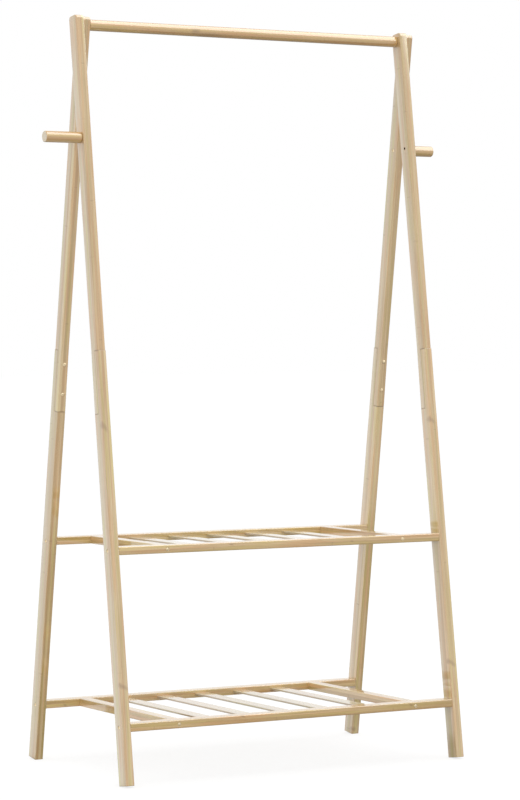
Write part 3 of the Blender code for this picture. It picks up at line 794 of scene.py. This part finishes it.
def bamboo_end(name, light, dark):
    """Cut ends of bamboo: a pale ground with fine dark vessels."""
    wiring = Wiring(bpy.data.materials.new(name))
    x, y, z = wiring.parts(wiring.attribute("grain"))
    spot = wiring.joined(x, y, wiring.attribute("seed", "Fac"))
    vessel = wiring.node("ShaderNodeTexVoronoi", {"Vector": spot, "Scale": END_CELLS}).outputs["Distance"]
    dots = wiring.fade(vessel, VESSEL_STEP, 0.0, END_DOTS)
    colour = wiring.mix(wiring.stretched(x, y, z, END_GROUND), light, dark)
    return lacquered(wiring, wiring.mix(dots, colour, colours().joint_mark_and_seam_shade), 0.6)


def drilled(name):
    """Wall of a drilled hole: a dark colour that paints the shade inside the hole, darker in patches."""
    wiring = Wiring(bpy.data.materials.new(name))
    _, colour = wiring.clouded(DRILL_PATCHES, 2.0, colours().drilled_wall, DRILL_SHADE)
    return wiring.finish({"Base Color": colour, "Roughness": 0.8})


def plated_steel(name):
    """Yellow plated steel, clouded and in places duller."""
    wiring = Wiring(bpy.data.materials.new(name))
    cloud, colour = wiring.clouded(STEEL_MARKS, 3.0, colours().steel, STEEL_SHADE)
    return wiring.finish({
        "Base Color": colour, "Roughness": wiring.fade(cloud, NOISE_STEP, 0.48, 0.6), "Metallic": 1.0})


def finish_named(slot_name):
    """Material of one finish, made once. Its name is the slot's with an ending of its own."""
    name = slot_name + "_finish"
    if name in bpy.data.materials:
        return bpy.data.materials[name]
    tone = colours()
    makers = {
        "leg_bamboo": lambda: bamboo(
            name, tone.leg_light, tone.leg_dark, contrast=1.5, seams=0.35, roughness=0.45, pale=tone.pale_end_and_leg_sheen),
        "rail_bamboo": lambda: bamboo(
            name, tone.rail_light, tone.rail_dark, contrast=1.6, seams=0.30, roughness=0.45),
        "slat_bamboo": lambda: bamboo(
            name, tone.slat_light, tone.slat_dark, contrast=1.2, seams=0.25, roughness=0.45, shaded=True),
        "round_bamboo": lambda: bamboo(
            name, tone.rod_light, tone.rod_dark, contrast=1.3, seams=0.20, roughness=0.42),
        "cut_end": lambda: bamboo_end(name, tone.pale_end_and_leg_sheen, tone.leg_light),
        "drilled_wall": lambda: drilled(name),
        "bolt_steel": lambda: plated_steel(name),
    }
    return makers[slot_name]()


# Pieces


def on_plane(pixel, point, normal):
    """Where the camera's ray through a pixel of the photograph meets a plane."""
    view = bpy.context.scene.rack_view
    right = Vector((math.cos(view.yaw), -math.sin(view.yaw), 0))
    ahead = Vector((math.sin(view.yaw), math.cos(view.yaw), 0))
    across = (pixel[0] - PHOTO_WIDTH / 2) / view.focal
    up = (view.horizon - pixel[1]) / view.focal
    ray = ahead + right * across + Vector((0, 0, up))
    start = Vector(view.position)
    return start + ray * ((point - start).dot(normal) / ray.dot(normal))


def marks_for(node, place, box, face):
    """Middle, turn and reach of each joint that shows on one of a piece's two Y faces, in its own frame.

    The rays of the line's two pixels are carried to the plane of that face. The turn's rows lie along the line,
    across it in the face, and into the piece.
    """
    low, high = box
    reach, *lines = MARKS.get(node, (0.0,))
    normal = Vector(np.array(place, float)[:3, 1])
    on_face = place @ Vector((0, low[1] if face == LOW_FACE else high[1], low[2]))
    found = []
    for line in lines:
        first, last = (np.array(place.inverted() @ on_plane(pixel, on_face, normal)) for pixel in line)
        length = np.linalg.norm(last - first)
        along = (last - first) / length
        inward = np.array([0.0, 1.0, 0.0])
        turn = np.stack([along, np.cross(along, inward), inward])
        found.append(((first + last) / 2, turn, np.array([length * MARK_ALONG, reach, MARK_INTO * reach])))
    return found


def add_bamboo(node, mesh, place, box, stock, seed, face=LOW_FACE):
    """Add a bamboo mesh in place of a node, with the pattern of its stock and the joints that show on one face."""
    write_grain(mesh, box, stock.strips, seed, marks_for(node, place, box, face))
    end_faces(mesh)
    finishes = [finish_named(slot_name) for slot_name in (stock.finish, "cut_end", "drilled_wall")]
    add_piece(node + "_bamboo", mesh, place, finishes, node)


def recess_at(spot, direction, radius, depth, wall=CUT_END):
    """Cutter of a round recess with a flared rim, at a spot on a face that looks along one direction."""
    rings = recess_surface(radius, depth)
    place = Matrix.Translation(spot) @ facing(direction)
    mesh = make_mesh("recess", to_frame(rings.reshape(-1, 3), place).reshape(rings.shape))
    mesh.polygons.foreach_set("material_index", np.full(len(mesh.polygons), wall, np.int32))
    return mesh


def head_spot(bolt, direction, place):
    """Middle of a packed bolt head's top, in the frame of the piece that it is sunk into."""
    turn = facing(direction)
    low, high = own_box(bolt, place @ turn)
    return turn @ Vector(((low[0] + high[0]) / 2, (low[1] + high[1]) / 2, high[2]))


def sink_at(spot, direction):
    """Cutter of the recess for a bolt's head, at a spot on a face that looks along one direction."""
    size = sizes()
    return recess_at(spot, direction, size.head / 2 + size.fit_gap, size.head_height + size.fit_gap)


def head_sinks(bolts, direction, place):
    """Cutters of the recesses that bolts' heads are sunk into."""
    return [sink_at(head_spot(bolt, direction, place), direction) for bolt in bolts]


def peg_recesses(side, outer, box):
    """Cutters at a peg's height: the screw's recess alone, or the whole open hole on a leg without a peg.

    On every leg the recess opens the face that looks along the leg's own +X, which is its near face.
    """
    size = sizes()
    low, high = box
    screw = head_spot(f"{side}_peg_screw", TO_RIGHT, leg_place("front" if side == "left" else "rear"))
    wide = sink_at(Vector((high[0], screw.y if outer else 0, screw.z)), TO_RIGHT)
    if outer:
        return [wide]
    far = Vector((low[0], 0, screw.z))
    through = high[0] - low[0] - size.head_height / 2
    return [wide, recess_at(far, TO_LEFT, size.hole / 2, through, DRILLED)]


def add_leg_half(number, side, place_name, half, boxes):
    """Add one half of a leg. The lower has its tongue up and its foot level, the upper the peg's hole."""
    size = sizes()
    stock = STOCKS["leg"]
    place = leg_place(place_name)
    node = f"{side}_{place_name}_leg_{half}"
    outer = (side, place_name) in (("left", "front"), ("right", "rear"))
    lower = half == "lower"
    low, high = boxes[half]
    middle_y = (low[1] + high[1]) / 2
    gap = size.fit_gap
    if lower:
        rings = bar_surface(boxes[half], size.leg_edge, size.end_round, size.seam_ease)
        shoulder, lap_plane, end = boxes["upper"][0][2] - gap, middle_y - gap / 2, high[2]
    else:
        rings = bar_surface(boxes[half], size.leg_edge, size.seam_ease, size.end_round, size.top_corner)
        shoulder, lap_plane, end = boxes["lower"][1][2] + gap, middle_y + gap / 2, low[2]
    rings = capped(lapped(rings, shoulder, lap_plane, lower, size.leg_edge, size.seam_ease))
    if lower:
        rings = level_foot(rings, place)
        bolts = [f"{shelf}_{side}_{place_name}_bolt" for shelf in SHELVES]
        cutters = head_sinks(bolts, TO_LEFT if outer else TO_RIGHT, place)
    else:
        bolts = [f"{side}_{place_name}_lap_bolt_{count}" for count in LAP_BOLT_NUMBERS]
        cutters = head_sinks(bolts, LEG_INNER_SIDE, place) + peg_recesses(side, outer, boxes[half])
    mesh = cut(make_mesh(node + "_bamboo", rings), cutters)
    front = place_name == "front"
    write_lap(mesh, shoulder, lap_plane, end, lower, front)
    seed = stock.seed(number, group=0 if lower else 1)
    add_bamboo(node, mesh, place, boxes[half], stock, seed, LOW_FACE if front else HIGH_FACE)


class RACK_OT_add_legs(bpy.types.Operator):
    """Add the eight leg halves with their half laps and open peg holes"""

    bl_idname = "rack.add_legs"
    bl_label = "Legs"

    def execute(self, context):
        for number, (side, place_name) in enumerate((side, place) for side in SIDES for place in PLACES):
            leg = f"{side}_{place_name}_leg"
            boxes = {half: own_box(f"{leg}_{half}", leg_place(place_name)) for half in ("upper", "lower")}
            for half in boxes:
                add_leg_half(number, side, place_name, half, boxes)
        return {"FINISHED"}


def add_bar(node, place, edge, stock, seed, screws=(), away=None):
    """Add a straight bar in place of a node, with sinks for the heads of screws that look away from the rack."""
    box = own_box(node, place)
    mesh = make_mesh(node + "_bamboo", bar_surface(box, edge, sizes().bar_end, sizes().bar_end))
    if screws:
        mesh = cut(mesh, head_sinks(screws, away, place))
    add_bamboo(node, mesh, place, box, stock, seed)


class RACK_OT_add_shelves(bpy.types.Operator):
    """Add the rails, crossbars and slats of both shelves"""

    bl_idname = "rack.add_shelves"
    bl_label = "Shelves"

    def execute(self, context):
        size = sizes()
        rail, crossbar, slat = STOCKS["rail"], STOCKS["crossbar"], STOCKS["slat"]
        for group, shelf in enumerate(SHELVES):
            for number, place in enumerate(PLACES):
                screws = [f"{shelf}_{side}_{place}_screw" for side in SIDES]
                seed = rail.seed(number, group)
                add_bar(f"{shelf}_{place}_rail", ALONG_X, size.rail_edge, rail, seed, screws, AWAY[place])
            for number, side in enumerate(SIDES):
                seed = crossbar.seed(number, group)
                add_bar(f"{shelf}_{side}_crossbar", ALONG_Y, size.crossbar_edge, crossbar, seed)
            for number in SLAT_NUMBERS:
                add_bar(f"{shelf}_slat_{number}", ALONG_Y, size.slat_edge, slat, slat.seed(number, group))
        return {"FINISHED"}


def add_round(node, stock, seed):
    """Add a turned bar along the rack in place of a node."""
    size = sizes()
    box = own_box(node, ALONG_X)
    rings = round_surface(box, size.peg_round, size.corner_steps, size.round_steps)
    add_bamboo(node, make_mesh(node + "_bamboo", rings), ALONG_X, box, stock, seed)


class RACK_OT_add_rounds(bpy.types.Operator):
    """Add the hanging rod and the two pegs"""

    bl_idname = "rack.add_rounds"
    bl_label = "Rod and Pegs"

    def execute(self, context):
        rod, peg = STOCKS["rod"], STOCKS["peg"]
        add_round("hanging_rod", rod, rod.seed(0))
        for number, side in enumerate(SIDES):
            add_round(f"{side}_peg", peg, peg.seed(number))
        return {"FINISHED"}


def add_steel(node, rings, place):
    """Add a steel piece in place of a node."""
    mesh = make_mesh(node + "_steel", rings)
    add_piece(node + "_steel", mesh, place, (finish_named("bolt_steel"),), node)


def add_bolt(node, head_direction, frame_place):
    """Add a bolt in place of a node, its head towards one direction of the given frame."""
    place = frame_place @ facing(head_direction)
    low, high = own_box(node, place)
    under_head = high[2] - sizes().head_height
    rings = bolt_surface(high[2] - low[2] - sizes().head_height)
    middle = Matrix.Translation(((low[0] + high[0]) / 2, (low[1] + high[1]) / 2, under_head))
    add_steel(node, rings, place @ middle)


def add_stud(node):
    """Add a stud without a head, along the rack, in place of a node."""
    rings = round_surface(own_box(node, ALONG_X), sizes().shank * STUD_EASE, STUD_END_STEPS, STUD_STEPS)
    add_steel(node, rings, ALONG_X)


class RACK_OT_add_bolts(bpy.types.Operator):
    """Add the bolts and screws"""

    bl_idname = "rack.add_bolts"
    bl_label = "Bolts"

    def execute(self, context):
        level = Matrix.Identity(4)
        for side in SIDES:
            add_stud(f"{side}_rod_bolt")
            add_bolt(f"{side}_peg_screw", INWARD[side], level)
            for place in PLACES:
                for number in LAP_BOLT_NUMBERS:
                    add_bolt(f"{side}_{place}_lap_bolt_{number}", LEG_INNER_SIDE, leg_place(place))
                for shelf in SHELVES:
                    add_bolt(f"{shelf}_{side}_{place}_bolt", OUTWARD[side], level)
                    add_bolt(f"{shelf}_{side}_{place}_screw", AWAY[place], level)
        return {"FINISHED"}


# Studio

WHITE = (1, 1, 1)
RACK_MIDDLE = (0, 0, 0.8)
RACK_TOP = (0, 0, 1.6)
FLOOR_ROUGHNESS = 0.9

# Where the mirrored floor turns bright: behind a line that leans by a share of X, left of one that leans by a share
# of Y, in front of the rack, and not in the shade of the lower shelf's left part
BEHIND_LEAN, BEHIND_STEP = -0.6, (-0.25, 0.15)
ASIDE_LEAN, ASIDE_STEP = 0.5, (0.68, 0.58)
FRONT_STEP = (-0.8, -1.6)
SHADE_LEFT_STEP, SHADE_RIGHT_STEP, SHADE_REAR_STEP = (-0.44, -0.41), (-0.05, -0.25), (0.35, 0.15)


def add_lamp(name, location, target, size, power, mirrored=False):
    """Add a soft lamp of one width and length that looks at a point, for reflections alone or for all but them."""
    data = bpy.data.lights.new(name, "AREA")
    data.shape = "RECTANGLE"
    data.size, data.size_y = size
    data.energy = power
    lamp = new_object(name, data)
    lamp.location = location
    lamp.rotation_euler = (Vector(target) - Vector(location)).to_track_quat("-Z", "Y").to_euler()
    lamp.visible_glossy = mirrored
    lamp.visible_diffuse = not mirrored


def make_world():
    """White backdrop to the eye, in reflections and through glass, and a plain even light."""
    world = bpy.data.worlds.new("studio")
    wiring = Wiring(world)
    path = wiring.node("ShaderNodeLightPath").outputs
    looking = wiring.math("MAXIMUM", path["Is Camera Ray"], path["Is Glossy Ray"])
    looking = wiring.math("MAXIMUM", looking, path["Is Transmission Ray"])
    light = wiring.nodes["Background"]
    wiring.feed(light.inputs["Color"], WHITE)
    wiring.feed(light.inputs["Strength"], bpy.context.scene.rack_studio.even_light)
    white = wiring.node("ShaderNodeBackground", {"Color": WHITE, "Strength": 1.0})
    mixed = wiring.node("ShaderNodeMixShader", {0: looking, 1: light.outputs[0], 2: white.outputs[0]})
    wiring.feed(wiring.nodes["World Output"].inputs["Surface"], mixed.outputs[0])
    bpy.context.scene.world = world


def make_floor():
    """Pale floor that keeps the rack's shadow, and meets the backdrop without a line."""
    studio = bpy.context.scene.rack_studio
    wiring = Wiring(bpy.data.materials.new("studio_floor"))
    path = wiring.node("ShaderNodeLightPath").outputs
    x, y, _ = wiring.parts(wiring.coordinates())
    behind = wiring.fade(wiring.math("MULTIPLY_ADD", x, BEHIND_LEAN, y), BEHIND_STEP, 0.0, studio.floor_mirrored)
    aside = wiring.fade(wiring.math("MULTIPLY_ADD", y, ASIDE_LEAN, x), ASIDE_STEP)
    shade = wiring.times(wiring.fade(x, SHADE_LEFT_STEP), wiring.fade(x, SHADE_RIGHT_STEP))
    shade = wiring.times(shade, wiring.fade(y, SHADE_REAR_STEP))
    rear = wiring.times(wiring.times(behind, aside), wiring.math("SUBTRACT", 1.0, shade))
    bright = wiring.math("MAXIMUM", rear, wiring.fade(y, FRONT_STEP, 0.0, studio.floor_mirrored_front))
    mirrored = wiring.times(path["Is Glossy Ray"], bright)
    wiring.finish({
        "Base Color": wiring.mix(path["Is Camera Ray"], colours().floor, colours().floor_seen),
        "Roughness": FLOOR_ROUGHNESS,
        "Specular IOR Level": 0.0,
        "Emission Color": WHITE,
        "Emission Strength": wiring.math("MULTIPLY_ADD", path["Is Camera Ray"], studio.floor_glow, mirrored)})
    reach = studio.floor_reach
    corners = [(-reach, -reach, 0), (reach, -reach, 0), (reach, reach, 0), (-reach, reach, 0)]
    mesh = bpy.data.meshes.new("studio_floor")
    mesh.from_pydata(corners, [], [(0, 1, 2, 3)])
    mesh.materials.append(wiring.owner)
    floor = new_object("studio_floor", mesh)
    floor.location.z = -studio.floor_drop


def make_camera():
    """Camera of the photograph: level, with its optical axis above the picture's middle."""
    view = bpy.context.scene.rack_view
    data = bpy.data.cameras.new("photo_camera")
    data.lens = view.focal / PHOTO_HEIGHT * data.sensor_width
    data.shift_y = (view.horizon - PHOTO_HEIGHT / 2) / PHOTO_HEIGHT
    camera = new_object("photo_camera", data)
    camera.location = view.position
    camera.rotation_euler = (QUARTER_TURN, 0, -view.yaw)
    bpy.context.scene.camera = camera


class RACK_OT_add_studio(bpy.types.Operator):
    """Add the camera, the lamps, the white world and the floor"""

    bl_idname = "rack.add_studio"
    bl_label = "Studio"

    def execute(self, context):
        studio = context.scene.rack_studio
        make_camera()
        make_world()
        make_floor()
        add_lamp("top_lamp", (0, -0.6, 6.3), RACK_MIDDLE, size=(6.0, 6.0), power=studio.top_power)
        add_lamp("key_lamp", (-4.9, -8.2, 1.9), RACK_MIDDLE, size=(4.0, 2.5), power=studio.key_power)
        add_lamp(
            "overhead_card", (3.4, -1.4, 5.2), RACK_TOP, size=(6.0, 6.0), power=studio.card_power, mirrored=True)
        context.scene.view_settings.view_transform = "Standard"
        return {"FINISHED"}


class RACK_PT_panel(bpy.types.Panel):
    """Lists the steps that dress the rack"""

    bl_idname = "RACK_PT_panel"
    bl_label = "Bamboo Rack"
    bl_space_type = "VIEW_3D"
    bl_region_type = "UI"
    bl_category = "Rack"

    def draw(self, context):
        for step in STEPS:
            self.layout.operator(step.bl_idname)
        for name, kind in GROUPS.items():
            box = self.layout.box()
            for value in kind.__annotations__:
                box.prop(getattr(context.scene, name), value)


STEPS = (RACK_OT_add_legs, RACK_OT_add_shelves, RACK_OT_add_rounds, RACK_OT_add_bolts, RACK_OT_add_studio)
GROUPS = {"rack_sizes": RackSizes, "rack_colours": RackColours, "rack_view": RackView, "rack_studio": RackStudio}


def register():
    """Register the groups, steps and panel."""
    for name, group in GROUPS.items():
        bpy.utils.register_class(group)
        setattr(bpy.types.Scene, name, PointerProperty(type=group))
    for kind in (*STEPS, RACK_PT_panel):
        bpy.utils.register_class(kind)


def unregister():
    """Take the panel, steps and groups out again."""
    for kind in reversed((*STEPS, RACK_PT_panel)):
        bpy.utils.unregister_class(kind)
    for name, group in GROUPS.items():
        delattr(bpy.types.Scene, name)
        bpy.utils.unregister_class(group)


def main():
    """Dress the rack step by step."""
    register()
    bpy.ops.rack.add_legs()
    bpy.ops.rack.add_shelves()
    bpy.ops.rack.add_rounds()
    bpy.ops.rack.add_bolts()
    bpy.ops.rack.add_studio()


if __name__ == "__main__":
    main()
